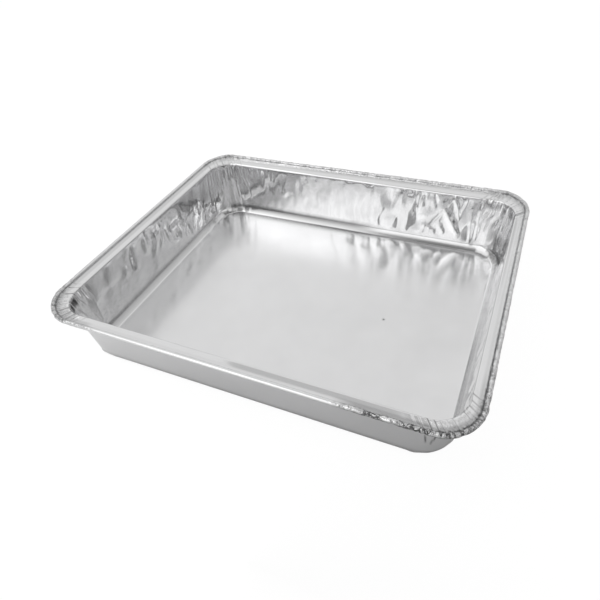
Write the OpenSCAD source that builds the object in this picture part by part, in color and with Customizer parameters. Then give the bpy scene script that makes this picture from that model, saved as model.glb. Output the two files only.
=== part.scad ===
// Foil roasting pan: one sheet of thin aluminium foil, pressed into a shallow rectangular tray.
// A flat floor runs through a narrow sloped band into leaning walls. The walls fold out
// into a ledge, and the edge of the sheet is rolled into a bead round the outside.
// The spare foil of the corners stands in pleats across the ledge and in creases down the walls.
// Origin: centre of the underside of the floor, which rests on z = 0. X is the long way.

/* [Tray] */
// Length over the rolled edge
tray_length = 324; // [240:1:420]
// Width over the rolled edge
tray_width = 264; // [200:1:360]
// Height of the fold at the top of the walls
wall_height = 52; // [30:1:75]
// How far the walls lean out between the foot band and the fold
wall_lean = 4.9; // [2:0.1:12]
// Gauge of the foil
foil_gauge = 0.1; // [0.08:0.01:0.2]

/* [Foot] */
// Height of the sloped band round the floor
foot_band_height = 5; // [2:0.5:9]
// Width of the sloped band, seen from above
foot_band_width = 4; // [2:0.5:8]
// Corner radius of the floor
floor_corner_radius = 20; // [14:1:30]

/* [Rim] */
// Width of the rim from the fold to the outside
rim_width = 10.5; // [8:0.5:16]
// Radius of the fold between wall and ledge
fold_radius = 0.8; // [0.5:0.1:1.5]
// Corner radius along the fold
fold_corner_radius = 21; // [16:1:30]
// Corner radius of the outside of the rim
rim_corner_radius = 26; // [20:1:36]
// Radius of the rolled edge
roll_radius = 1.8; // [1.5:0.1:2.2]
// Free gap between the turns of the rolled edge
roll_gap = 0.35; // [0.2:0.05:0.5]
// How far the ledge is bent up at the front, over its width
ledge_lift_front = -1.7; // [-3:0.1:5]
// How far the ledge is bent up on the right
ledge_lift_right = 1.1; // [-3:0.1:5]
// How far the ledge is bent up at the back
ledge_lift_back = 3.5; // [-3:0.1:5]
// How far the ledge is bent up on the left
ledge_lift_left = 2.1; // [-3:0.1:5]

/* [Folds] */
// Pleats round the bend of each corner
corner_pleats = 9; // [5:1:10]
// Straight length on each side of a corner that is pleated too
pleat_run = 15; // [8:1:24]
// Height of the pleats across the ledge, from valley to ridge
pleat_height = 0.9; // [0.3:0.1:1.2]
// Depth of the creases at the top of the corner walls
crease_depth = 0.8; // [0.3:0.1:1.2]
// Depth of the shallow waves in the straight walls
wave_depth = 0.5; // [0.2:0.1:0.8]
// Depth of the nicks that the pleats leave in the rolled edge
nick_depth = 0.2; // [0.1:0.05:0.3]

/* [Hidden] */

// Steps along the outline: round a bend, in each pleated run beside it, and between two runs
bend_steps = 2 * corner_pleats;
run_steps = 6;
side_steps = 8;
// Steps up the wall and round the roll
wall_steps = 4;
roll_steps = 9;
// Angles at which the roll starts, on the ledge, and at which the edge of the sheet ends inside it
roll_start = -30;
roll_end = 350;
// From this angle on the roll tucks itself under the ledge
roll_tuck = 265;

// Insets are measured from the outside of the rim, radii in the roll to the middle of the foil
fold_inset = rim_width;
band_inset = fold_inset + wall_lean;
floor_inset = band_inset + foot_band_width;
turn_radius = roll_radius - foil_gauge / 2;
end_radius = turn_radius - foil_gauge - roll_gap;
groove_inset = roll_radius + turn_radius * cos(roll_start);
roll_height = wall_height - turn_radius * sin(roll_start);

// Uneven share between 0 and 1 for the number n, the same every time
function uneven(n) = 0.5 + 0.3 * sin(137.5 * n) + 0.2 * sin(71.3 * n + 40);
function ramp(t) = t <= 0 ? 0 : t >= 1 ? 1 : t * t * (3 - 2 * t);
function mix(a, b, t) = a + (b - a) * t;
function unit(v) = v / norm(v);

// The section of the foil, from the floor to the edge of the sheet. Each row holds
// [inset, height, corner radius, shares of the lift, the pleats, the creases, the waves and the nicks]
floor_row = [floor_inset, foil_gauge / 2, floor_corner_radius, 0, 0, 0, 0, 0];

function wall_row(t) = [
    mix(band_inset, fold_inset, t),
    mix(foot_band_height, wall_height - fold_radius, t),
    mix(floor_corner_radius + foot_band_width, fold_corner_radius, t),
    0, 0, ramp(1.25 * t), sin(150 * t), 0
];

// Rows of the ledge, at the share t of the way from the fold to the groove beside the roll
function ledge_row(t, drop, pleats, creases) = [
    mix(fold_inset, groove_inset, t),
    wall_height - drop,
    mix(fold_corner_radius, rim_corner_radius - groove_inset, t),
    t, pleats, creases, 0, 0
];

// Row of the roll at an angle round its middle: 0 faces the ledge, 90 is the top, 180 the outside
function roll_row(angle) =
    let (
        r = mix(turn_radius, end_radius, ramp((angle - roll_tuck) / (roll_end - roll_tuck))),
        inset = roll_radius + r * cos(angle)
    )
    [inset, roll_height + r * sin(angle), rim_corner_radius - inset, 1, 0, 0, 0, r / turn_radius];

fold_share = fold_radius / (fold_inset - groove_inset);
rows = concat(
    [floor_row],
    [for (i = [0:wall_steps]) wall_row(i / wall_steps)],
    [
        ledge_row(0.3 * fold_share, 0.3 * fold_radius, 0.4, 0.6),
        ledge_row(fold_share, 0, 0.6, 0),
        ledge_row(0.6, 0, 1, 0),
        ledge_row(1, 0, 0.4, 0)
    ],
    [for (i = [1:roll_steps]) roll_row(mix(roll_start, roll_end, i / roll_steps))]
);

// The outline as a list of stations, anticlockwise from the start of the back right bend. Each holds
// [corner, angle round its bend, length into a pleated run, share of the plain side passed]
stations = [for (corner = [0:3]) each concat(
    [for (i = [0:bend_steps])
        let (shake = 0.3 * sin(180 * i / bend_steps) * (uneven(i + 31 * corner) - 0.5))
        [corner, 90 * (i + shake) / bend_steps, 0, 0]],
    [for (i = [1:run_steps]) [corner, 90, pleat_run * i / run_steps, 0]],
    [for (i = [1:side_steps]) [corner, 90, pleat_run, i / side_steps]],
    [for (i = [1:run_steps - 1]) [corner, 90, pleat_run * (1 + i / run_steps), 1]]
)];

// Unit vector that points out of the tray at a station
function outward(s) = [cos(90 * s[0] + s[1]), sin(90 * s[0] + s[1])];

// Point of the outline at a station, for a given inset and corner radius
function outline_point(s, inset, radius) =
    let (
        sign_x = s[0] == 0 || s[0] == 3 ? 1 : -1,
        sign_y = s[0] < 2 ? 1 : -1,
        half_x = tray_length / 2 - inset - radius,
        half_y = tray_width / 2 - inset - radius,
        side = 2 * (s[0] % 2 == 0 ? half_x : half_y),
        out = outward(s),
        along = [-out[1], out[0]]
    )
    [sign_x * half_x, sign_y * half_y] + radius * out
        + (s[2] + s[3] * (side - 2 * pleat_run)) * along;

// How far the ledge is lifted at a station: each side has its own lift, blended round the bends
lifts = [ledge_lift_right, ledge_lift_back, ledge_lift_left, ledge_lift_front];
function lift(s) = mix(lifts[s[0]], lifts[(s[0] + 1) % 4], ramp(s[1] / 90));

// Strength of the folds at a station: full in the bends, fading along the pleated runs
function pleating(s) =
    let (from_bend = s[3] == 0 ? s[2] : s[3] < 1 ? pleat_run : 2 * pleat_run - s[2])
    1 - ramp(from_bend / pleat_run);

// Ridge (up to 1) or valley (down to -1) of the pleats at station k
function ridge(k) = (k % 2 == 0 ? 1 : -1) * pleating(stations[k]) * (0.6 + 0.4 * uneven(k));

// Shallow wave of the straight walls at station k, between -1 and 1
function wave(k) = (1 - pleating(stations[k])) * (2 * uneven(7 * k + 3) - 1);

// Step across the foil at row i, from its middle to its upper or outer face, mitred where the section bends
function across(i) =
    let (
        here = rows[i],
        to = rows[min(i + 1, len(rows) - 1)],
        from = rows[max(i - 1, 0)],
        run_in = i == 0 ? [1, 0] : unit([from[0] - here[0], here[1] - from[1]]),
        run_out = i == len(rows) - 1 ? run_in : unit([here[0] - to[0], to[1] - here[1]]),
        middle = unit(run_in + run_out)
    )
    [-middle[1], middle[0]] * foil_gauge / 2 / (middle * run_in);

steps_across = [for (i = [0:len(rows) - 1]) across(i)];

// Point of the foil at row i and station k: face is 1 on its upper or outer face, -1 on the other
function foil_point(i, k, face) =
    let (
        row = rows[i],
        s = stations[k],
        fold = ridge(k) * (row[4] * pleat_height + row[5] * crease_depth) / 2
            + wave(k) * row[6] * wave_depth / 2
            + min(0, ridge(k)) * row[7] * nick_depth,
        shift = fold * unit(steps_across[i]) + face * steps_across[i],
        flat = outline_point(s, row[0], row[2]) + shift[0] * outward(s)
    )
    [flat[0], flat[1], row[1] + shift[1] + row[3] * lift(s)];

module foil_pan() {
    n = len(stations);
    m = len(rows);
    // The caps of the floor start half way round a bend, where no three of their corners lie in line
    cap_start = bend_steps / 2;
    points = [for (face = [1, -1], i = [0:m - 1], k = [0:n - 1]) foil_point(i, k, face)];
    function at(i, k, face) = (face > 0 ? 0 : n * m) + i * n + k % n;
    upper = [for (i = [0:m - 2], k = [0:n - 1]) each [
        [at(i, k, 1), at(i + 1, k + 1, 1), at(i + 1, k, 1)],
        [at(i, k, 1), at(i, k + 1, 1), at(i + 1, k + 1, 1)]
    ]];
    lower = [for (i = [0:m - 2], k = [0:n - 1]) each [
        [at(i, k, -1), at(i + 1, k, -1), at(i + 1, k + 1, -1)],
        [at(i, k, -1), at(i + 1, k + 1, -1), at(i, k + 1, -1)]
    ]];
    sheet_edge = [for (k = [0:n - 1]) each [
        [at(m - 1, k, 1), at(m - 1, k + 1, -1), at(m - 1, k, -1)],
        [at(m - 1, k, 1), at(m - 1, k + 1, 1), at(m - 1, k + 1, -1)]
    ]];
    floor_top = [for (k = [n:-1:1]) at(0, k + cap_start, 1)];
    floor_bottom = [for (k = [1:n]) at(0, k + cap_start, -1)];
    color([0.80, 0.80, 0.81])
        polyhedron(
            points = points,
            faces = concat(upper, lower, sheet_edge, [floor_top, floor_bottom]),
            convexity = 6
        );
}

foil_pan();
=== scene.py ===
import math

import bmesh
import bpy
from mathutils import Matrix, Vector, noise


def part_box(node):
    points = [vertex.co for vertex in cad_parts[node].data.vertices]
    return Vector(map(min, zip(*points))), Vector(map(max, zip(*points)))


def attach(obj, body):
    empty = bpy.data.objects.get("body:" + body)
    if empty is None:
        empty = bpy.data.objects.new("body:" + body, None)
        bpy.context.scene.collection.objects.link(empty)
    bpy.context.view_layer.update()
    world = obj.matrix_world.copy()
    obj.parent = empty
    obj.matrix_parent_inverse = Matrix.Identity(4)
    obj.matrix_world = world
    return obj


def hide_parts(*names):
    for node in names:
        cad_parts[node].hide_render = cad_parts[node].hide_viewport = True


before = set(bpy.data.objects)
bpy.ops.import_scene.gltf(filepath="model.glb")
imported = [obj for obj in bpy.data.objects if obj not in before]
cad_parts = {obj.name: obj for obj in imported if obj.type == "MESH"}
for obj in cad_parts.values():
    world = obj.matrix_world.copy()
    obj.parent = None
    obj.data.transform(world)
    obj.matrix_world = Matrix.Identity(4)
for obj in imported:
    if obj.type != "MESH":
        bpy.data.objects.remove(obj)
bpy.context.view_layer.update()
print("frame loaded")

mm = 0.001

# the pressed sheet, in mm; its length and width come from the frame
pan = {
    "wallHeight": 52.0,
    "wallLean": 4.6,
    "bandHeight": 4.6,
    "bandWidth": 4.6,
    "rimWidth": 10.5,
    "rollRadius": 1.8,
    "rollGap": 0.35,
    "rollAngles": (-30, 265, 350),   # where the roll starts, where it tucks itself in, and its end
    "foldRadius": 1.0,
    "ledgeCurl": 0.7,   # the ledge turns up before it meets the roll
    "footRadius": 1.4,
    "wallFootRadius": 2.6,
    "gauge": 0.1,
    "floorCorner": 20.0,
    "foldCorner": 21.0,
    "rimCorner": 26.0,
    "lifts": (1.1, 3.5, 2.1, -1.7),        # of the outer edge, on the right, back, left and front
    "ridges": (0.1, 0.25, 0.12, 0.0),      # how far the fold stands above the ledge
    "bandShifts": (0.2, 0.5, -0.05, 0.2),  # how much steeper the foot band is there
}

# how finely the sheet is meshed; along the sides as (share of the side, steps), anticlockwise
meshing = {
    "pleatStops": (0.0, 0.1, 0.26, 0.5, 0.74, 0.9),
    "sideRuns": (
        ((1.0, 104),),                            # right
        ((0.42, 128), (0.4, 60), (0.18, 40)),     # back
        ((0.55, 92), (0.45, 36)),                 # left
        ((0.1, 14), (0.5, 44), (0.4, 102)),       # front
    ),
    "wallSteps": 20,
    "foldSteps": 3,
    "ledgeStops": (0.1, 0.35, 0.6, 0.82, 1.0),
    "rollSteps": 11,
    "floorBorder": 3.0,
    "floorCell": 5.0,
}

# pleats of the corners, in mm
pleats = {
    "inBend": 9,
    "inRun": 3,
    "run": 15.0,
    "height": 0.9,
    "shares": (0.75, 0.4, 0.7, 1.0),   # of that height: back right, back left, front left, front right
    "slot": 1.3,                       # some steps are pinched into narrow slots
    "under": (0.4, 0.0, 1.2, 1.0),     # how much painted shade lies on the gathered foil below the fold, per corner
    "slotHalf": 0.16,   # half width of the painted shade in a slot, as a share of a pleat
    "crease": 0.8,
    "creaseHalf": 0.2,
    "reach": (0.9, 1.3, 0.55, 0.9),    # how far down the creases reach, per corner
    "uneven": 0.9,
    "reverse": 0.25,   # share of the pleats that lie the other way
}

# facets of the creased walls: width, height and depth in mm
crumples = {
    "broad": (9.5, 22.0, 2.0),
    "hanging": (4.2, 18.0, 0.7),
    "fine": (5.0, 7.5, 0.95),
    "upright": (5.2, 42.0, 0.5),
}
# how the facets are shifted along the wall and up it: reach in mm, and noise steps per mm both ways
facetShifts = {"along": (4, 0.05, 0.07), "up": (3, 0.08, 0.08)}

# strength of each kind of crumple along each side, as (place in mm, strength)
strengths = {
    "broad": {
        "back": ((-120, 0.05), (-55, 0.08), (-25, 0.25), (20, 0.25), (55, 0.7), (100, 0.6), (140, 0.9)),
        "left": ((-100, 0.05), (-50, 0.12), (0, 0.3), (100, 0.35)),
        "right": ((-120, 0.15), (60, 0.25), (110, 0.5)),
        "front": ((-160, 0.08), (160, 0.08)),
    },
    "hanging": {
        "back": ((-130, 0.05), (-98, 0.08), (-88, 0.2), (-50, 0.1), (20, 0.3), (50, 1.0), (140, 1.2)),
        "left": ((-100, 0.06), (0, 0.06), (90, 0.08)),
        "right": ((-120, 0.1), (70, 0.2), (110, 0.8)),
        "front": ((-160, 0.0), (160, 0.0)),
    },
    "fine": {
        "back": ((-120, 0.05), (-80, 0.12), (130, 0.08)),
        "left": ((-110, 0.2), (-75, 0.4), (-40, 0.9), (10, 1.2), (85, 1.3), (105, 0.3)),
        "right": ((-120, 0.1), (110, 0.1)),
        "front": ((-160, 0.0), (160, 0.0)),
    },
    "upright": {
        "back": ((-130, 0.08), (-98, 0.08), (-60, 0.1), (-30, 0.4), (20, 0.6), (60, 0.4), (130, 0.6)),
        "left": ((-100, 0.1), (0, 0.2), (60, 0.1)),
        "right": ((-120, 0.3), (110, 0.8)),
        "front": ((-160, 0.1), (160, 0.1)),
    },
}

# single creases: side, then place and height of both ends, half width and depth, in mm
creases = (
    ("left", -59, 39, -64, 9, 1.6, 0.16),
    ("left", -90, 38, -91, 12, 1.4, 0.14),
    ("left", -102, 46, -98, 16, 1.3, 0.16),
    ("left", -46, 41, -44, 37, 1.3, -0.3),
    ("left", -40, 29, -38, 25, 1.3, -0.3),
    ("left", 12, 50, 14, 22, 1.2, 0.2),
    ("left", 40, 50, 44, 30, 1.1, 0.2),
    ("back", -112, 50, -108, 34, 1.0, -0.3),
    ("back", -92, 50, -93, 41, 1.2, 0.35),
    ("back", -86, 50, -87, 38, 1.2, -0.3),
    ("back", -64, 32, -78, 25, 2.4, 0.3),
    ("back", 80, 54, 84, 36, 2.0, -0.8),
    ("back", 71, 54, 72, 40, 1.6, -0.6),
    ("back", 90, 38, 107, 10, 4.6, 1.3),
    ("back", 91, 36, 78, 18, 1.6, -0.6),
    ("back", 70, 19, 85, 11, 3.0, 0.6),
    ("back", 86, 22, 93, 10, 3.0, 0.7),
    ("back", 97, 54, 106, 28, 2.2, 0.9),
    ("back", 116, 38, 117, 6, 2.4, 0.8),
    ("back", 123, 46, 122, 9, 2.2, 0.8),
    ("back", 62, 54, 66, 28, 2.0, 0.6),
    ("front", -128, 30, -124, 27, 1.8, -0.3),
)

# thin dark lines of painted shade where the foil is folded on itself: ends as above, half width in mm and
# darkness
shadeSlits = (
    ("front", 139, 38, 134, 18, 0.8, 1.6),
    ("front", 130.5, 33, 131.5, 19, 0.8, 1.1),
    ("front", -129, 36, -126, 33, 0.9, 0.6),
    ("left", -104, 47, -98, 36, 1.4, 0.5),
    ("left", -110, 44, -103, 28, 1.2, 0.55),
    ("left", -46, 42, -44, 39, 0.9, 0.6),
    ("left", -40, 30, -38, 27, 0.9, 0.6),
)

# pinches of the rolled edge along each side, as (place in mm, strength), and how much painted shade lies
# between the crushed folds
pinches = {
    "spacing": 1.9,
    "depth": 0.42,
    "gaps": {
        "back": ((-150, 0.6), (-120, 0.35), (-60, 0.35), (60, 0.25), (100, 0.1), (160, 0.05)),
        "left": ((-120, 0.45), (-95, 0.3), (-80, 0.05), (90, 0.05), (130, 0.3)),
        "right": ((-130, 0.9), (-95, 0.6), (-70, 0.25), (60, 0.15), (130, 0.05)),
        "front": ((-160, 0.4), (-120, 0.5), (-110, 0.0), (70, 0.0), (92, 1.0), (160, 1.0)),
    },
    "back": ((-150, 0.9), (-60, 0.7), (100, 1.0), (160, 1.0)),
    "left": ((-120, 1.0), (-95, 0.7), (-80, 0.15), (90, 0.2), (130, 0.9)),
    "right": ((-130, 1.0), (-60, 0.8), (60, 0.55), (130, 1.0)),
    "front": ((-160, 1.0), (-120, 0.5), (-100, 0.05), (70, 0.05), (92, 0.9), (160, 1.0)),
}

# height of the middle of the fine crumples of the left wall
leftMiddle = ((-60, 41.0), (-20, 38.0), (15, 32.0), (50, 22.0), (95, 14.0))
# how much painted shade lies on the foot band at its foot and at its top, along each side
footShades = {
    "right": ((-120, 0.0, 0.1), (120, 0.0, 0.1)),
    "back": ((-130, 0.1, 0.7), (0, 0.3, 0.7), (40, 0.5, 0.05), (130, 0.5, 0.05)),
    "left": ((-110, 0.0, 0.35), (80, 0.0, 0.35), (100, 0.0, 0.05)),
    "front": ((-150, 0.75, 0.35), (150, 0.75, 0.35)),
}
# how much of the floor's satin each zone has
satins = {"floor": 1.0, "band": 0.6, "ledge": 0.45, "fold": 0.3, "roll": 1.1}
grooveShades = (0.15, 0.12, 0.2, 0.05)   # how much painted shade lies on the ledge where it meets the roll

# the uneven floor, in mm: height of the waves, plainly and in the back right corner, their lengths,
# how much they are raised, how far from the outside they start, and over what length they grow
floorWaves = {"heights": (0.05, 0.14), "lengths": (34, 46), "raise": 0.03, "start": 22.4, "growth": 14}

sideNames = ("right", "back", "left", "front")


def ramp(t):
    t = min(1.0, max(0.0, t))
    return t * t * (3 - 2 * t)


def mix(a, b, t):
    return a + (b - a) * t


def chance(i, j=0, seed=0):
    # a share between 0 and 1, the same every time
    value = math.sin(i * 12.9898 + j * 78.233 + seed * 37.719) * 43758.5453
    return value - math.floor(value)


def along(profile, place):
    # value of a profile of (place, value) pairs at a place
    before = profile[0]
    for point in profile:
        if place <= point[0]:
            span = point[0] - before[0]
            return point[1] if span == 0 else mix(before[1], point[1], ramp((place - before[0]) / span))
        before = point
    return before[1]


def panSize():
    low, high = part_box("foil_pan")
    return (high.x - low.x) / mm, (high.y - low.y) / mm


panLength, panWidth = panSize()


def outlinePoint(stop, inset, radius):
    turn = math.radians(90 * stop["corner"] + stop["angle"])
    out = Vector((math.cos(turn), math.sin(turn)))
    signX = 1 if stop["corner"] in (0, 3) else -1
    signY = 1 if stop["corner"] < 2 else -1
    halfX = panLength / 2 - inset - radius
    halfY = panWidth / 2 - inset - radius
    side = 2 * (halfX if stop["corner"] % 2 == 0 else halfY)
    way = Vector((-out.y, out.x))
    travel = stop["run"] + stop["share"] * (side - 2 * pleats["run"])
    return Vector((signX * halfX, signY * halfY)) + out * radius + way * travel, out


def makeStops():
    # stops along the outline, anticlockwise from the start of the back right bend
    stops = []
    inBend, inRun, length = pleats["inBend"], pleats["inRun"], pleats["run"]

    def placed(corner, pleat, f, last):
        # pleats are unevenly wide
        shifts = [pleats["uneven"] * (chance(i + 40 * corner, 5) - 0.5) for i in (pleat, pleat + 1)]
        start = 0.0 if pleat == 0 else shifts[0]
        end = 0.0 if pleat + 1 == last else shifts[1]
        return pleat + f + mix(start, end, f)

    def stop(corner, angle, run, share, pleat):
        side = sideNames[(corner + (1 if angle > 45 else 0)) % 4]
        stops.append({
            "corner": corner, "angle": angle, "run": run, "share": share, "pleat": pleat, "side": side,
        })

    for corner in range(4):
        for pleat in range(inBend):
            for f in meshing["pleatStops"]:
                stop(corner, 90 * placed(corner, pleat, f, inBend) / inBend, 0.0, 0.0, pleat + f)
        for pleat in range(inRun):
            for f in meshing["pleatStops"]:
                run = length * placed(corner, pleat, f, inRun) / inRun
                stop(corner, 90.0, run, 0.0, inBend + pleat + f)
        done = 0.0
        for share, steps in meshing["sideRuns"][(corner + 1) % 4]:
            for i in range(steps):
                stop(corner, 90.0, length, done + share * i / steps, None)
            done += share
        for pleat in range(inRun):
            for f in meshing["pleatStops"]:
                run = length * (1 + placed(corner + 9, pleat, f, inRun) / inRun)
                stop(corner, 90.0, run, 1.0, pleat + f - inRun)

    walked = 0.0
    last = None
    for s in stops:
        place, _ = outlinePoint(s, pan["rimWidth"], pan["foldCorner"])
        walked += (place - last).length if last else 0.0
        last = place
        s["walked"] = walked
        s["pleating"] = pleating(s)
    return stops


def pleating(stop):
    if stop["pleat"] is None:
        return 0.0
    fromBend = stop["run"] if stop["share"] == 0 else 2 * pleats["run"] - stop["run"]
    return 1 - ramp(fromBend / pleats["run"])


def bySide(values, stop):
    # a value for each side, blended round the bends
    return mix(values[stop["corner"]], values[(stop["corner"] + 1) % 4], ramp(stop["angle"] / 90))


def roundBend(a, b, c, radius, steps):
    # points of a round where the straight lines a-b and b-c meet
    toA, toC = (a - b).normalized(), (c - b).normalized()
    reach = radius / math.tan(toA.angle(toC) / 2)
    start, end = b + toA * reach, b + toC * reach
    ts = [i / steps for i in range(steps + 1)]
    return [start * (1 - t) ** 2 + b * (2 * t * (1 - t)) + end * t ** 2 for t in ts]


def makeSection():
    # rows of the section from the floor to the sheet's edge, each a dictionary
    rimWidth, bandHeight, wallHeight = pan["rimWidth"], pan["bandHeight"], pan["wallHeight"]
    rollStart, rollTuck, rollEnd = pan["rollAngles"]
    turn = pan["rollRadius"] - pan["gauge"] / 2
    bandInset = rimWidth + pan["wallLean"]
    floorInset = bandInset + pan["bandWidth"]
    grooveInset = pan["rollRadius"] + turn * math.cos(math.radians(rollStart))
    rollMiddle = wallHeight - turn * math.sin(math.radians(rollStart))
    base = pan["gauge"] / 2
    floorIn, foot = Vector((floorInset + meshing["floorBorder"], base)), Vector((floorInset, base))
    bandTop, fold = Vector((bandInset, bandHeight)), Vector((rimWidth, wallHeight))
    groove = Vector((grooveInset, wallHeight))
    footBend = roundBend(floorIn, foot, bandTop, pan["footRadius"], 2)
    topBend = roundBend(foot, bandTop, fold, pan["wallFootRadius"], 3)
    foldBend = roundBend(bandTop, fold, groove, pan["foldRadius"], meshing["foldSteps"])
    section = []

    def row(p, corner, zone, t, liftShare=0.0, bandShare=0.0, ridgeShare=0.0):
        section.append({
            "inset": p[0], "height": p[1], "corner": corner, "zone": zone, "t": t,
            "lift": liftShare, "band": bandShare, "ridge": ridgeShare,
        })

    def footCorner(p):
        return pan["floorCorner"] + max(0.0, floorInset - p.x)

    row(floorIn, pan["floorCorner"], "floor", 0.0)
    for p in footBend:
        row(p, footCorner(p), "band", 0.0)
    for p in topBend[:-1]:
        row(p, footCorner(p), "band", 1.0, 0.0, min(1.0, p.y / bandHeight))
    for i in range(meshing["wallSteps"]):
        t = i / meshing["wallSteps"]
        p = topBend[-1].lerp(foldBend[0], t)
        row(p, mix(footCorner(topBend[-1]), pan["foldCorner"], t), "wall", t, 0.0, 1 - t)
    for i, p in enumerate(foldBend):
        t = i / meshing["foldSteps"]
        liftShare = max(0.0, (rimWidth - p.x) / (rimWidth - grooveInset))
        row(p, pan["foldCorner"], "fold", t, liftShare, 0.0, ramp(t))
    for t in meshing["ledgeStops"]:
        p = foldBend[-1].lerp(groove, t) + Vector((0, pan["ledgeCurl"] * max(0.0, 2 * t - 1) ** 2))
        share = (rimWidth - p.x) / (rimWidth - grooveInset)
        row(p, mix(pan["foldCorner"], pan["rimCorner"] - grooveInset, t), "ledge", t, share)
    for i in range(1, meshing["rollSteps"] + 1):
        angle = mix(rollStart, rollEnd, i / meshing["rollSteps"])
        tuck = ramp((angle - rollTuck) / (rollEnd - rollTuck))
        r = mix(turn, turn - pan["gauge"] - pan["rollGap"], tuck)
        inset = pan["rollRadius"] + r * math.cos(math.radians(angle))
        height = rollMiddle + r * math.sin(math.radians(angle))
        row((inset, height), pan["rimCorner"] - inset, "roll", angle, 1.0)

    length = 0.0
    for i, this in enumerate(section):
        before, after = section[max(0, i - 1)], section[min(len(section) - 1, i + 1)]
        way = Vector((before["inset"] - after["inset"], after["height"] - before["height"])).normalized()
        this["normal"] = Vector((-way.y, way.x))
        length += math.hypot(this["inset"] - before["inset"], this["height"] - before["height"])
        this["length"] = length
    return section


def stepAt(corner, boundary):
    # strength and direction of the step between two pleats
    key = boundary + 40 * corner
    strength = 0.45 + 0.55 * chance(key, 1)
    return -strength if chance(key, 2) < pleats["reverse"] else strength


def slotAt(corner, boundary):
    return pleats["slot"] * max(0.0, chance(boundary + 40 * corner, 6) - 0.4)


def pleatCorner(stop):
    # the run before a bend belongs to the bend that follows it
    return stop["corner"] + (1 if stop["pleat"] is not None and stop["pleat"] < 0 else 0)


def pleatShape(stop):
    # a pleat is a flat panel that slopes gently up to a narrow step down to the next
    if stop["pleating"] <= 0:
        return 0.0
    i = math.floor(stop["pleat"])
    f = stop["pleat"] - i
    corner = pleatCorner(stop)
    start, end = stepAt(corner, i), stepAt(corner, i + 1)
    edge = meshing["pleatStops"][1]
    if f < edge:
        shape = -start * f / edge - slotAt(corner, i) * (1 - f / edge)
    elif f > 1 - edge:
        shape = end * (1 - f) / edge - slotAt(corner, i + 1) * (1 - (1 - f) / edge)
    else:
        shape = mix(-start, end, (f - edge) / (1 - 2 * edge))
    return shape * stop["pleating"] * pleats["shares"][corner % 4]


def creaseShape(stop, t):
    # narrow creases down the corner walls from the steps between the pleats, each to its own depth
    if stop["pleating"] <= 0:
        return 0.0
    nearest = round(stop["pleat"])
    inside = 1 - abs(stop["pleat"] - nearest) / pleats["creaseHalf"]
    if inside <= 0:
        return 0.0
    corner = pleatCorner(stop)
    reach = mix(0.25, pleats["reach"][corner % 4], chance(nearest + 40 * corner, 3))
    sign = 1 if chance(nearest + 40 * corner, 4) < 0.5 else -1
    return sign * inside * ramp((t - 1 + reach) / 0.3) * mix(0.4, 1, t) * stop["pleating"]


def facets(u, v, seed):
    # flat facets between sharp creases: a lattice of triangles whose corners have uneven heights
    i, j = math.floor(u), math.floor(v)
    u, v = u - i, v - j
    if u + v < 1:
        corners = ((i, j, 1 - u - v), (i + 1, j, u), (i, j + 1, v))
    else:
        corners = ((i + 1, j + 1, u + v - 1), (i, j + 1, 1 - u), (i + 1, j, 1 - v))
    return sum(weight * (2 * chance(a, b, seed) - 1) for a, b, weight in corners)


def nearLine(lines, side, place, height):
    # sum of the lines near a place on a wall, each highest along its middle
    total = 0.0
    for name, a, z, b, y, half, strength in lines:
        if name != side:
            continue
        spanX, spanY = b - a, y - z
        length = math.hypot(spanX, spanY)
        t = ((place - a) * spanX + (height - z) * spanY) / length ** 2
        off = abs((place - a) * spanY - (height - z) * spanX) / length
        total += strength * max(0.0, 1 - off / half - abs(2 * t - 1) ** 3)
    return total


def placeOn(stop, flat):
    # how far along its side a point is, from the middle
    return flat.x if stop["side"] in ("back", "front") else flat.y


def fineZone(side, place, height):
    # the fine crumples of the left wall lie in a slanting band
    if side != "left":
        return 1.0
    return ramp((14 - abs(height - along(leftMiddle, place))) / 6)


def wallRelief(stop, t, height, flat):
    side, place = stop["side"], placeOn(stop, flat)
    walked = stop["walked"]
    reach, stepAlong, stepUp = facetShifts["along"]
    u = walked + reach * noise.noise(Vector((walked * stepAlong, height * stepUp, 3)))
    reach, stepAlong, stepUp = facetShifts["up"]
    v = height + reach * noise.noise(Vector((walked * stepAlong, height * stepUp, 9)))
    zones = {
        "broad": math.sin(math.pi * t) ** 0.5,
        "hanging": ramp((t - 0.4) / 0.35),
        "fine": fineZone(side, place, height),
        "upright": 1.0,
    }
    depth = 0.0
    for seed, (kind, zone) in enumerate(zones.items()):
        width, tall, deep = crumples[kind]
        strength = along(strengths[kind][side], place) * zone
        if strength > 0.01:
            depth += strength * deep * facets(u / width, v / tall, seed)
    depth += nearLine(creases, side, place, height)
    return depth * ramp(t / 0.1) * ramp((1 - t) / 0.05)


def pinch(stop, flat, angle):
    # flattened spots along the rolled edge
    side, place = stop["side"], placeOn(stop, flat)
    strength = along(pinches[side], place)
    shape = facets(stop["walked"] / pinches["spacing"], angle / 60, 7) - 0.35
    return strength * pinches["depth"] * min(0.0, shape)


def foldDepth(stop, row, flat):
    # how far the sheet stands off its plain form, in mm, along its own normal
    zone, t = row["zone"], row["t"]
    if zone == "wall":
        return creaseShape(stop, t) * pleats["crease"] + wallRelief(stop, t, row["height"], flat)
    if zone == "band":
        depth = 0.5 * stop["pleating"] * facets(stop["walked"] / 4.5, 1.4 * t, 11)
        return depth * ramp(row["height"] / 3)   # it stays above the table
    if zone == "fold":
        return mix(creaseShape(stop, 1.0) * 0.5, pleatShape(stop), t) * pleats["height"] * 0.4
    if zone == "ledge":
        fade = mix(0.5, 1, ramp(2 * t)) * (1 - 0.5 * ramp(3 * t - 2))
        return pleatShape(stop) * pleats["height"] / 2 * fade
    if zone == "roll":
        # the pinches fade towards the ledge and where the sheet tucks itself in
        return pinch(stop, flat, t) * ramp((360 - t) / 90) * ramp((t + 20) / 60)
    return 0.0


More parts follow.
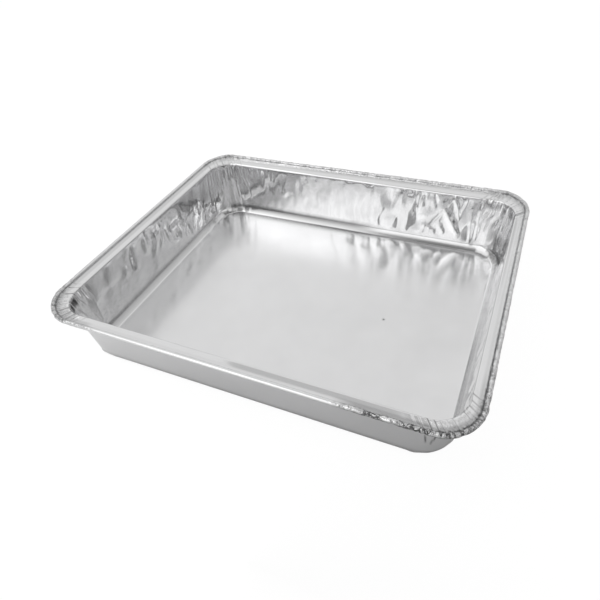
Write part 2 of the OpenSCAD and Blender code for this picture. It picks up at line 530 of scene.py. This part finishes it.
def placeRing(bm, verts, stops, row):
    satin = bm.verts.layers.float["satin"]
    crumple, crush = bm.verts.layers.float["crumple"], bm.verts.layers.float["crush"]
    gap, shadeDots = bm.verts.layers.float["gap"], bm.verts.layers.float["shadeDots"]
    blankX, blankY = bm.verts.layers.float["blankX"], bm.verts.layers.float["blankY"]
    first = pan["rimWidth"] + pan["wallLean"] + pan["bandWidth"] + meshing["floorBorder"]
    for vert, stop in zip(verts, stops):
        flat, out = outlinePoint(stop, row["inset"], row["corner"])
        depth = foldDepth(stop, row, flat)
        # place on the flat blank that the tray was pressed from
        start, _ = outlinePoint(stop, first, pan["floorCorner"])
        blank = start + out * row["length"]
        vert[blankX], vert[blankY] = blank.x, blank.y
        vert[satin] = satins.get(row["zone"], 0.0)
        vert[crumple] = crumpleAt(stop, row, flat)
        vert[crush] = crushAt(stop, row, flat)
        vert[satin] *= 1 - 0.8 * min(1.0, vert[crush])
        # painted shade, kept in the vertex
        vert[gap] = gapAt(stop, row, flat)
        # painted shade in the crushed dents of the rolled edge
        vert[shadeDots] = vert[crush] * along(pinches["gaps"][stop["side"]], placeOn(stop, flat))
        steeper = row["band"] * bySide(pan["bandShifts"], stop)
        flat = flat + out * (row["normal"].x * depth - steeper)
        height = row["height"] + row["normal"].y * depth + steeper
        height += row["lift"] * bySide(pan["lifts"], stop) + row["ridge"] * bySide(pan["ridges"], stop)
        vert.co = Vector((flat.x, flat.y, height)) * mm


def crumpleAt(stop, row, flat):
    # how much fine creasing the material adds
    if row["zone"] != "wall":
        return 0.4 * stop["pleating"]
    side, place = stop["side"], placeOn(stop, flat)
    fine = along(strengths["fine"][side], place) * fineZone(side, place, row["height"])
    broad = 0.25 * along(strengths["broad"][side], place)
    plain = 0.5 if side == "front" else 0.15
    if side == "left" and place < 20:
        plain = 0.6
    return max(plain, fine, broad, 0.3 * stop["pleating"]) * ramp(row["t"] / 0.1)


def crushAt(stop, row, flat):
    # how much the rolled edge and the ledge beside it are crushed
    side, place = stop["side"], placeOn(stop, flat)
    strength = along(pinches[side], place)
    if row["zone"] == "roll":
        return strength
    if row["zone"] == "ledge":
        return strength * ramp((row["t"] - 0.6) / 0.4) + 0.25 * stop["pleating"]
    return 0.0


def gapAt(stop, row, flat):
    # painted shade on the foot band, below the folds, beneath the roll, in the groove and between folded
    # foil
    side, zone, t = stop["side"], row["zone"], row["t"]
    place = placeOn(stop, flat)
    # painted shade on the foot band and at the foot of the wall
    if zone in ("band", "wall"):
        low, high = (along([(p[0], p[k]) for p in footShades[side]], place) for k in (1, 2))
    if zone == "band":
        return mix(low, high, t)
    if zone == "wall":
        foot = high * (1 - ramp(t / 0.08))
        # painted shade on the gathered foil below the fold, in patches
        under = stop["pleating"] * pleats["under"][pleatCorner(stop) % 4] * ramp((t - 0.78) / 0.1)
        under *= ramp(2.4 * chance(stop["walked"] // 2.9, 4, 8) - 0.4)
        return min(1.0, max(foot, under, nearLine(shadeSlits, side, place, row["height"])))
    if zone == "roll":
        # painted shade beneath the rolled edge, and in patches along it
        under = ramp((t - 175) / 30) * ramp((360 - t) / 60)
        patchy = ramp(2.5 * chance(stop["walked"] // 2.6, 1, 8) - 0.5)
        return max(under, 0.35 * patchy) * along(pinches["gaps"][side], place)
    # painted shade in the groove where the ledge meets the roll, and beside the crushed roll
    groove = 0.0
    if zone == "ledge":
        groove = max(bySide(grooveShades, stop), 0.5 * along(pinches["gaps"][side], place))
        groove *= ramp((t - 0.3) / 0.3) * mix(1, 0.3, ramp((t - 0.8) / 0.2))
    if zone in ("fold", "ledge") and stop["pleating"] > 0:
        corner = pleatCorner(stop)
        share = stop["pleating"] * pleats["shares"][corner % 4]
        # painted shade in the slots between the pleats and in notches along the ledge's edge
        nearest = round(stop["pleat"])
        inside = max(0.0, 1 - abs(stop["pleat"] - nearest) / pleats["slotHalf"])
        slot = inside * ramp(1.3 * slotAt(corner, nearest))
        nickShade = 0.8 * ramp(2 * chance(stop["walked"] // 2.2, 3, 8)) if zone == "ledge" and t == 1 else 0.0
        return max(groove, share * max(slot, nickShade))
    return groove


def cutFloor(bm, floorFace):
    # cuts the floor's one face into cells, so that it can be waved
    cell = meshing["floorCell"] * mm
    geom = [floorFace, *floorFace.edges, *floorFace.verts]
    for axis, half in ((Vector((1, 0, 0)), panLength / 2 * mm), (Vector((0, 1, 0)), panWidth / 2 * mm)):
        count = int(half / cell)
        for i in range(-count, count + 1):
            place = axis * (i * cell)
            geom = bmesh.ops.bisect_plane(bm, geom=geom, dist=1e-7, plane_co=place, plane_no=axis)["geom"]
    return {g for g in geom if isinstance(g, bmesh.types.BMVert)}


def waveFloor(bm, inside, ring):
    # the floor is slightly uneven, most of all in the back right corner
    satin = bm.verts.layers.float["satin"]
    blankX, blankY = bm.verts.layers.float["blankX"], bm.verts.layers.float["blankY"]
    lengthX, lengthY = floorWaves["lengths"]
    for vert in inside - ring:
        x, y = vert.co.x / mm, vert.co.y / mm
        vert[blankX], vert[blankY], vert[satin] = x, y, 1.0
        edge = min(panLength / 2 - abs(x), panWidth / 2 - abs(y)) - floorWaves["start"]
        corner = ramp((x - 30) / 70) * ramp((y - 20) / 60)
        wave = noise.noise(Vector((x / lengthX, y / lengthY, 1)))
        height = mix(*floorWaves["heights"], corner) * wave + floorWaves["raise"]
        vert.co.z += max(0.0, height) * ramp(edge / floorWaves["growth"]) * mm


def mapBlank(bm):
    # uv map in metres of the flat blank
    uv = bm.loops.layers.uv.new("blank")
    blankX, blankY = bm.verts.layers.float["blankX"], bm.verts.layers.float["blankY"]
    for face in bm.faces:
        for loop in face.loops:
            loop[uv].uv = (loop.vert[blankX] * mm, loop.vert[blankY] * mm)


def placeMesh(name, bm):
    data = bpy.data.meshes.new(name)
    bm.to_mesh(data)
    bm.free()
    obj = bpy.data.objects.new(name, data)
    bpy.context.scene.collection.objects.link(obj)
    return obj


def buildPan():
    stops = makeStops()
    section = makeSection()
    bm = bmesh.new()
    for name in ("satin", "crumple", "crush", "gap", "shadeDots", "blankX", "blankY"):
        bm.verts.layers.float.new(name)
    ring = bmesh.ops.create_circle(bm, segments=len(stops), radius=1)["verts"]
    firstRing = set(ring)
    placeRing(bm, ring, stops, section[0])
    floorFace = bm.faces.new(ring)
    edges = list(bm.edges)
    for row in section[1:]:
        grown = bmesh.ops.extrude_edge_only(bm, edges=edges)["geom"]
        ring = [g for g in grown if isinstance(g, bmesh.types.BMVert)]
        inRing = set(ring)
        edges = [g for g in grown if isinstance(g, bmesh.types.BMEdge) and set(g.verts) <= inRing]
        placeRing(bm, ring, stops, row)
    inside = cutFloor(bm, floorFace)
    waveFloor(bm, inside, firstRing)
    mapBlank(bm)
    bmesh.ops.recalc_face_normals(bm, faces=bm.faces)
    for face in bm.faces:
        face.smooth = True
    obj = placeMesh("foilPan", bm)
    solid = obj.modifiers.new("gauge", "SOLIDIFY")
    solid.thickness = pan["gauge"] * mm
    solid.offset = 0
    return obj


foil = buildPan()
print("pan built with", len(foil.data.vertices), "points")
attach(foil, "root")
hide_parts("foil_pan")

# bright rolled aluminium, in metres on the blank
finish = {
    "tint": (0.94, 0.94, 0.945, 1),
    "smooth": 0.05,      # roughness of the walls
    "satin": 0.21,       # roughness of the floor
    "cloudy": 0.03,      # how much that changes
    "cloudScale": 26,
    "grainLength": 60.0,
    "grainWidth": 2600.0,
    "grainDepth": 0.00000025,
    "wrinkleScale": 260.0,
    "wrinkleDepth": 0.00018,
    "wrinkleShift": 0.004,
    "wrinkleShiftScale": 90,
    "wrinkleSoftScale": 330,
    "crushScale": 900.0,
    "crushPatchScale": 160,
    "crushDepth": 0.00035,
    "anisotropy": 0.8,
    "gapShade": 0.1,             # what is left of the tint in painted shade and in the speck
    "speck": (0.0703, -0.0019),  # a single dark speck on the floor
    "speckSize": 0.0011,
}


def makeGroup(name, inputs, outputs):
    group = bpy.data.node_groups.new(name, "ShaderNodeTree")
    for kind, label in inputs:
        group.interface.new_socket(label, in_out="INPUT", socket_type=kind)
    for kind, label in outputs:
        group.interface.new_socket(label, in_out="OUTPUT", socket_type=kind)
    return group, group.nodes.new("NodeGroupInput"), group.nodes.new("NodeGroupOutput")


def grainGroup():
    # fine lines that the rollers leave along the sheet, and a cloudy change of gloss
    group, source, result = makeGroup(
        "rollingGrain",
        [("NodeSocketVector", "Vector"), ("NodeSocketFloat", "Along"), ("NodeSocketFloat", "Across")],
        [("NodeSocketFloat", "Lines"), ("NodeSocketFloat", "Clouds")],
    )
    nodes, links = group.nodes, group.links
    scale = nodes.new("ShaderNodeCombineXYZ")
    links.new(source.outputs["Along"], scale.inputs["X"])
    links.new(source.outputs["Across"], scale.inputs["Y"])
    stretch = nodes.new("ShaderNodeVectorMath")
    stretch.operation = "MULTIPLY"
    links.new(source.outputs["Vector"], stretch.inputs[0])
    links.new(scale.outputs[0], stretch.inputs[1])
    lines = nodes.new("ShaderNodeTexNoise")
    lines.inputs["Scale"].default_value = 1
    lines.inputs["Detail"].default_value = 2
    links.new(stretch.outputs[0], lines.inputs["Vector"])
    clouds = nodes.new("ShaderNodeTexNoise")
    clouds.inputs["Scale"].default_value = finish["cloudScale"]
    clouds.inputs["Detail"].default_value = 5
    clouds.inputs["Roughness"].default_value = 0.6
    links.new(source.outputs["Vector"], clouds.inputs["Vector"])
    links.new(lines.outputs["Fac"], result.inputs["Lines"])
    links.new(clouds.outputs["Fac"], result.inputs["Clouds"])
    return group


def wrinkleGroup():
    # small sharp creases between smooth facets
    group, source, result = makeGroup(
        "foilWrinkles",
        [("NodeSocketVector", "Vector"), ("NodeSocketFloat", "Scale")],
        [("NodeSocketFloat", "Height")],
    )
    nodes, links = group.nodes, group.links
    warp = nodes.new("ShaderNodeTexNoise")
    warp.inputs["Scale"].default_value = finish["wrinkleShiftScale"]
    links.new(source.outputs["Vector"], warp.inputs["Vector"])
    shift = nodes.new("ShaderNodeVectorMath")
    shift.operation = "SCALE"
    shift.inputs["Scale"].default_value = finish["wrinkleShift"]
    links.new(warp.outputs["Color"], shift.inputs[0])
    moved = nodes.new("ShaderNodeVectorMath")
    links.new(source.outputs["Vector"], moved.inputs[0])
    links.new(shift.outputs[0], moved.inputs[1])
    cells = nodes.new("ShaderNodeTexVoronoi")
    cells.feature = "F1"
    links.new(moved.outputs[0], cells.inputs["Vector"])
    links.new(source.outputs["Scale"], cells.inputs["Scale"])
    soft = nodes.new("ShaderNodeTexNoise")
    soft.inputs["Scale"].default_value = finish["wrinkleSoftScale"]
    soft.inputs["Detail"].default_value = 2
    links.new(moved.outputs[0], soft.inputs["Vector"])
    both = nodes.new("ShaderNodeMath")
    both.operation = "MULTIPLY_ADD"
    both.inputs[1].default_value = 0.45
    links.new(cells.outputs["Distance"], both.inputs[0])
    links.new(soft.outputs["Fac"], both.inputs[2])
    links.new(both.outputs[0], result.inputs["Height"])
    return group


def crushGroup():
    # small dents pressed close together, in patches, with a mask of painted shade at their edges
    group, source, result = makeGroup(
        "crushMarks",
        [("NodeSocketVector", "Vector"), ("NodeSocketFloat", "Scale")],
        [("NodeSocketFloat", "Height"), ("NodeSocketFloat", "ShadeMask")],
    )
    nodes, links = group.nodes, group.links
    cells = nodes.new("ShaderNodeTexVoronoi")
    cells.feature = "F1"
    cells.distance = "MANHATTAN"
    links.new(source.outputs["Vector"], cells.inputs["Vector"])
    links.new(source.outputs["Scale"], cells.inputs["Scale"])
    patches = nodes.new("ShaderNodeTexNoise")
    patches.inputs["Scale"].default_value = finish["crushPatchScale"]
    patches.inputs["Detail"].default_value = 1
    links.new(source.outputs["Vector"], patches.inputs["Vector"])
    masked = nodes.new("ShaderNodeMapRange")
    masked.inputs["From Min"].default_value = 0.42
    masked.inputs["From Max"].default_value = 0.58
    masked.inputs["To Min"].default_value = 0.35
    links.new(patches.outputs["Fac"], masked.inputs["Value"])
    both = nodes.new("ShaderNodeMath")
    both.operation = "MULTIPLY"
    links.new(cells.outputs["Distance"], both.inputs[0])
    links.new(masked.outputs[0], both.inputs[1])
    # painted shade at the edges of the dents
    gaps = nodes.new("ShaderNodeMapRange")
    gaps.inputs["From Min"].default_value = 0.5
    gaps.inputs["From Max"].default_value = 0.75
    links.new(both.outputs[0], gaps.inputs["Value"])
    links.new(both.outputs[0], result.inputs["Height"])
    links.new(gaps.outputs[0], result.inputs["ShadeMask"])
    return group


def speckGroup():
    # a small round mark at one place
    group, source, result = makeGroup(
        "speck",
        [("NodeSocketVector", "Vector"), ("NodeSocketVector", "Place"), ("NodeSocketFloat", "Size")],
        [("NodeSocketFloat", "Mask")],
    )
    nodes, links = group.nodes, group.links
    away = nodes.new("ShaderNodeVectorMath")
    away.operation = "DISTANCE"
    links.new(source.outputs["Vector"], away.inputs[0])
    links.new(source.outputs["Place"], away.inputs[1])
    inside = nodes.new("ShaderNodeMapRange")
    links.new(away.outputs["Value"], inside.inputs["Value"])
    links.new(source.outputs["Size"], inside.inputs["From Max"])
    inside.inputs["To Min"].default_value = 1.8
    inside.inputs["To Max"].default_value = 0
    links.new(inside.outputs[0], result.inputs["Mask"])
    return group


def attribute(nodes, name):
    node = nodes.new("ShaderNodeAttribute")
    node.attribute_name = name
    return node.outputs["Fac"]


def foilMaterial():
    mat = bpy.data.materials.new("foil")
    mat.use_nodes = True
    nodes, links = mat.node_tree.nodes, mat.node_tree.links
    shader = nodes["Principled BSDF"]
    shader.inputs["Metallic"].default_value = 1
    shader.inputs["Anisotropic"].default_value = finish["anisotropy"]
    shader.inputs["Anisotropic Rotation"].default_value = 0.25
    rolled = nodes.new("ShaderNodeTangent")
    rolled.direction_type = "UV_MAP"
    rolled.uv_map = "blank"
    links.new(rolled.outputs[0], shader.inputs["Tangent"])

    blank = nodes.new("ShaderNodeUVMap")
    blank.uv_map = "blank"
    grain = nodes.new("ShaderNodeGroup")
    grain.node_tree = grainGroup()
    links.new(blank.outputs["UV"], grain.inputs["Vector"])
    grain.inputs["Along"].default_value = finish["grainLength"]
    grain.inputs["Across"].default_value = finish["grainWidth"]
    wrinkles = nodes.new("ShaderNodeGroup")
    wrinkles.node_tree = wrinkleGroup()
    links.new(blank.outputs["UV"], wrinkles.inputs["Vector"])
    wrinkles.inputs["Scale"].default_value = finish["wrinkleScale"]

    # the floor is satin, the stretched walls are bright
    gloss = nodes.new("ShaderNodeMapRange")
    links.new(attribute(nodes, "satin"), gloss.inputs["Value"])
    gloss.inputs["To Min"].default_value = finish["smooth"]
    gloss.inputs["To Max"].default_value = finish["satin"]
    cloudy = nodes.new("ShaderNodeMapRange")
    links.new(grain.outputs["Clouds"], cloudy.inputs["Value"])
    cloudy.inputs["From Min"].default_value = 0.3
    cloudy.inputs["From Max"].default_value = 0.7
    cloudy.inputs["To Min"].default_value = -finish["cloudy"]
    cloudy.inputs["To Max"].default_value = finish["cloudy"]
    rough = nodes.new("ShaderNodeMath")
    links.new(gloss.outputs[0], rough.inputs[0])
    links.new(cloudy.outputs[0], rough.inputs[1])
    links.new(rough.outputs[0], shader.inputs["Roughness"])

    crush = nodes.new("ShaderNodeGroup")
    crush.node_tree = crushGroup()
    links.new(blank.outputs["UV"], crush.inputs["Vector"])
    crush.inputs["Scale"].default_value = finish["crushScale"]
    speck = nodes.new("ShaderNodeGroup")
    speck.node_tree = speckGroup()
    links.new(blank.outputs["UV"], speck.inputs["Vector"])
    speck.inputs["Place"].default_value = finish["speck"] + (0,)
    speck.inputs["Size"].default_value = finish["speckSize"]

    def clamped(operation, a, b):
        node = nodes.new("ShaderNodeMath")
        node.operation = operation
        node.use_clamp = True
        links.new(a, node.inputs[0])
        links.new(b, node.inputs[1])
        return node.outputs[0]

    def shade(share, factor, colour):
        node = nodes.new("ShaderNodeMix")
        node.data_type = "RGBA"   # its colours are sockets 6 and 7, and 2 among its outputs
        links.new(factor, node.inputs["Factor"])
        if isinstance(colour, tuple):
            node.inputs[6].default_value = colour
        else:
            links.new(colour, node.inputs[6])
        node.inputs[7].default_value = tuple(share * c for c in finish["tint"][:3]) + (1,)
        return node.outputs[2]

    crushHere = attribute(nodes, "crush")
    # painted shade in the dents, on the foot band, below the folds and between folded foil, together with
    # the floor's one real dark speck
    shadeDots = clamped("MULTIPLY", attribute(nodes, "shadeDots"), crush.outputs["ShadeMask"])
    gaps = clamped("MAXIMUM", clamped("MAXIMUM", attribute(nodes, "gap"), shadeDots), speck.outputs["Mask"])
    tint = shade(0.97, grain.outputs["Lines"], finish["tint"])
    tint = shade(0.9, grain.outputs["Clouds"], tint)
    links.new(shade(finish["gapShade"], gaps, tint), shader.inputs["Base Color"])

    lines = nodes.new("ShaderNodeBump")
    lines.inputs["Distance"].default_value = finish["grainDepth"]
    links.new(grain.outputs["Lines"], lines.inputs["Height"])
    creased = nodes.new("ShaderNodeBump")
    creased.inputs["Distance"].default_value = finish["wrinkleDepth"]
    links.new(wrinkles.outputs["Height"], creased.inputs["Height"])
    links.new(attribute(nodes, "crumple"), creased.inputs["Strength"])
    links.new(lines.outputs["Normal"], creased.inputs["Normal"])
    crushed = nodes.new("ShaderNodeBump")
    crushed.inputs["Distance"].default_value = finish["crushDepth"]
    links.new(crush.outputs["Height"], crushed.inputs["Height"])
    links.new(crushHere, crushed.inputs["Strength"])
    links.new(creased.outputs["Normal"], crushed.inputs["Normal"])
    links.new(crushed.outputs["Normal"], shader.inputs["Normal"])
    return mat


foil.data.materials.append(foilMaterial())
print("foil finished")

# light from all round: each panel spans degrees of azimuth and elevation, with soft edges
# azimuth 0 is behind the pan and 90 to its right
studio = {
    "plain": 0.76,        # where no panel stands
    "uneven": 0.7,
    "unevenScale": 11.0,
    "unevenBelow": (35, 7),   # elevation and softness
    "panels": {
        "behind": ((312, 348), (16, 33), (8, 4), 0.85),
        "greyBehind": ((350, 361), (22, 36), (3, 2), 0.55),
        "darkBehind": ((300, 361), (-5, 13), (5, 3), 0.2),
        "paleRight": ((24, 84), (32, 56), (10, 4), 0.6),
        "greyOver": ((118, 142), (24.5, 33), (3, 2), 0.7),
        "glintOver": ((100, 119), (18, 34.5), (3, 2), 1.5),
        "greyOverHigh": ((98, 138), (34, 45), (6, 2), 0.32),
        "darkOver": ((66, 172), (59, 78), (8, 5), 0.12),
        "darkHigh": ((66, 104), (48, 62), (8, 5), 0.12),
        "greyRight": ((12, 94), (16, 30), (10, 4), 0.41),
        "gapRight": ((64, 78), (-5, 46), (2, 3), 0.22),
        "glintRight": ((79, 92), (2, 44), (2, 3), 1.0),
        "darkRight": ((-1, 45.5), (-5, 29), (0, 2), 0.14),
        "whiteOver": ((134, 176), (33, 60), (5, 2), 0.92),
        "camera": ((143, 163), (34, 47), (3, 3), 0.2),
        "brightFront": ((181, 230), (8, 43), (2, 3), 1.15),
        "brightHigh": ((196, 262), (36, 64), (5, 5), 1.35),
        "greyFront": ((168, 202), (45, 66), (4, 2), 0.3),
        "darkFront": ((50, 180), (-5, 17), (8, 3), 0.14),
        "darkCorner": ((138, 182), (12, 30), (4, 2), 0.12),
        "slotCorner": ((158.5, 167), (20, 29), (1.5, 2), 1.1),
        "greyLow": ((217, 262), (-5, 20), (4, 2), 0.5),
        "darkLeft": ((235, 300), (20, 33), (4, 2), 0.28),
        "darkLeftLow": ((262, 300), (-5, 21), (4, 2), 0.14),
    },
}


def makeStudio():
    world = bpy.data.worlds.new("studio")
    bpy.context.scene.world = world
    world.use_nodes = True
    nodes, links = world.node_tree.nodes, world.node_tree.links

    def calculate(operation, a, b=None):
        node = nodes.new("ShaderNodeMath")
        node.operation = operation
        for socket, value in zip(node.inputs, (a, b)):
            if value is None:
                continue
            if isinstance(value, (int, float)):
                socket.default_value = value
            else:
                links.new(value, socket)
        return node.outputs[0]

    def edge(value, at, soft, rising):
        node = nodes.new("ShaderNodeMapRange")
        node.interpolation_type = "SMOOTHSTEP"
        links.new(value, node.inputs["Value"])
        node.inputs["From Min"].default_value = at - soft
        node.inputs["From Max"].default_value = at + soft
        node.inputs["To Min"].default_value = 0 if rising else 1
        node.inputs["To Max"].default_value = 1 if rising else 0
        return node.outputs["Result"]

    way = nodes.new("ShaderNodeTexCoord").outputs["Generated"]
    parts = nodes.new("ShaderNodeSeparateXYZ")
    links.new(way, parts.inputs[0])
    turn = calculate("ARCTAN2", parts.outputs["X"], parts.outputs["Y"])
    azimuth = calculate("MODULO", calculate("ADD", calculate("DEGREES", turn), 360), 360)
    elevation = calculate("DEGREES", calculate("ARCSINE", parts.outputs["Z"]))
    light = studio["plain"]
    for (left, right), (low, high), (softAcross, softUp), strength in studio["panels"].values():
        fromLeft = edge(azimuth, left, softAcross, True)
        toRight = edge(azimuth, right, softAcross, False)
        fromLow = edge(elevation, low, softUp, True)
        toHigh = edge(elevation, high, softUp, False)
        across = calculate("MULTIPLY", fromLeft, toRight)
        upward = calculate("MULTIPLY", fromLow, toHigh)
        mask = calculate("MULTIPLY", across, upward)
        blend = nodes.new("ShaderNodeMix")
        links.new(mask, blend.inputs["Factor"])
        if isinstance(light, float):
            blend.inputs["A"].default_value = light
        else:
            links.new(light, blend.inputs["A"])
        blend.inputs["B"].default_value = strength
        light = blend.outputs["Result"]
    # low round the pan the surroundings are uneven
    clouds = nodes.new("ShaderNodeTexNoise")
    clouds.inputs["Scale"].default_value = studio["unevenScale"]
    links.new(way, clouds.inputs["Vector"])
    cloud = calculate("SUBTRACT", clouds.outputs["Fac"], 0.5)
    cloud = calculate("MULTIPLY", cloud, 2 * studio["uneven"])
    below = edge(elevation, *studio["unevenBelow"], False)
    gain = calculate("ADD", calculate("MULTIPLY", cloud, below), 1)
    light = calculate("MULTIPLY", light, gain)
    # the camera itself sees plain white
    seen = nodes.new("ShaderNodeLightPath").outputs["Is Camera Ray"]
    last = nodes.new("ShaderNodeMix")
    links.new(seen, last.inputs["Factor"])
    links.new(light, last.inputs["A"])
    last.inputs["B"].default_value = 1
    links.new(last.outputs["Result"], nodes["Background"].inputs["Color"])
    nodes["Background"].inputs["Strength"].default_value = 1


makeStudio()

# a white table; the camera mostly sees its glow, which leaves a faint shadow
table = {
    "size": 3,   # half its width, in metres
    "white": (0.86, 0.86, 0.86, 1),
    "roughness": 0.9,
    "glow": 1.06,
    "glowShare": 0.9,
}


def tableMaterial():
    mat = bpy.data.materials.new("tableWhite")
    mat.use_nodes = True
    nodes, links = mat.node_tree.nodes, mat.node_tree.links
    shader = nodes["Principled BSDF"]
    shader.inputs["Base Color"].default_value = table["white"]
    shader.inputs["Roughness"].default_value = table["roughness"]
    glow = nodes.new("ShaderNodeEmission")
    glow.inputs["Color"].default_value = (1, 1, 1, 1)
    glow.inputs["Strength"].default_value = table["glow"]
    seen = nodes.new("ShaderNodeLightPath").outputs["Is Camera Ray"]
    share = nodes.new("ShaderNodeMath")
    share.operation = "MULTIPLY"
    share.inputs[1].default_value = table["glowShare"]
    links.new(seen, share.inputs[0])
    blend = nodes.new("ShaderNodeMixShader")
    links.new(share.outputs[0], blend.inputs["Fac"])
    links.new(shader.outputs[0], blend.inputs[1])
    links.new(glow.outputs[0], blend.inputs[2])
    links.new(blend.outputs[0], nodes["Material Output"].inputs["Surface"])
    return mat


def makeTable():
    bm = bmesh.new()
    bmesh.ops.create_grid(bm, x_segments=1, y_segments=1, size=table["size"])
    obj = placeMesh("table", bm)
    obj.data.materials.append(tableMaterial())


makeTable()

# a card above the pan that only shows in the foil, and one before the front wall that only shades; in mm
cards = {
    "above": {"place": (-125, -70, 650), "size": (350, 260), "upright": False, "grey": 0.5},
    "before": {"place": (135, -215, 65), "size": (160, 130), "upright": True, "grey": 0.0},
}


def makeCards():
    for name, card in cards.items():
        bm = bmesh.new()
        bmesh.ops.create_grid(bm, x_segments=1, y_segments=1, size=0.5 * mm)
        bmesh.ops.scale(bm, vec=(card["size"][0], card["size"][1], 1), verts=bm.verts)
        if card["upright"]:
            bmesh.ops.rotate(bm, matrix=Matrix.Rotation(math.pi / 2, 3, "X"), verts=bm.verts)
        bmesh.ops.translate(bm, vec=Vector(card["place"]) * mm, verts=bm.verts)
        obj = placeMesh(name + "Card", bm)
        mat = bpy.data.materials.new(name + "Card")
        mat.use_nodes = True
        shader = mat.node_tree.nodes["Principled BSDF"]
        shader.inputs["Base Color"].default_value = (0, 0, 0, 1)
        shader.inputs["Roughness"].default_value = 1
        shader.inputs["Emission Color"].default_value = (1, 1, 1, 1)
        shader.inputs["Emission Strength"].default_value = card["grey"]
        obj.data.materials.append(mat)
        obj.visible_camera = False
        obj.visible_shadow = card["upright"]
        obj.visible_diffuse = card["upright"]
        obj.visible_glossy = not card["upright"]


makeCards()

# a small soft lamp low on the left, in mm and watts, which doesn't show in the foil
lamp = {
    "place": (-650, -170, 300),
    "aim": (-60, -150, 0),
    "size": 220,
    "power": 1.1,
}


def makeLamp():
    data = bpy.data.lights.new("lamp", "AREA")
    data.size = lamp["size"] * mm
    data.energy = lamp["power"]
    obj = bpy.data.objects.new("lamp", data)
    way = Vector(lamp["aim"]) - Vector(lamp["place"])
    turned = way.to_track_quat("-Z", "Y").to_matrix().to_4x4()
    obj.matrix_world = Matrix.Translation(Vector(lamp["place"]) * mm) @ turned
    obj.visible_glossy = False
    bpy.context.scene.collection.objects.link(obj)


makeLamp()

# seen from the front, turned to the right; degrees, and mm from the middle of the pan
camera = {
    "azimuth": 28.08,
    "elevation": 41.76,
    "roll": -6.35,
    "distance": 449.22,
    "right": -6.12,
    "up": 0.71,
    "lens": 30.54,
}


def makeCamera():
    az, el, roll = (math.radians(camera[k]) for k in ("azimuth", "elevation", "roll"))
    back = Vector((math.sin(az) * math.cos(el), -math.cos(az) * math.cos(el), math.sin(el)))
    right = (-back).cross(Vector((0, 0, 1))).normalized()
    up = right.cross(-back)
    place = back * camera["distance"] + right * camera["right"] + up * camera["up"]
    tiltRight = right * math.cos(roll) + up * math.sin(roll)
    tiltUp = up * math.cos(roll) - right * math.sin(roll)
    data = bpy.data.cameras.new("camera")
    data.lens = camera["lens"]
    data.sensor_width = 36
    data.clip_start = 0.01
    obj = bpy.data.objects.new("camera", data)
    turned = Matrix((tiltRight, tiltUp, back)).transposed().to_4x4()
    obj.matrix_world = Matrix.Translation(place * mm) @ turned
    bpy.context.scene.collection.objects.link(obj)
    bpy.context.scene.camera = obj


makeCamera()
bpy.context.scene.view_settings.view_transform = "Standard"
print("studio set")
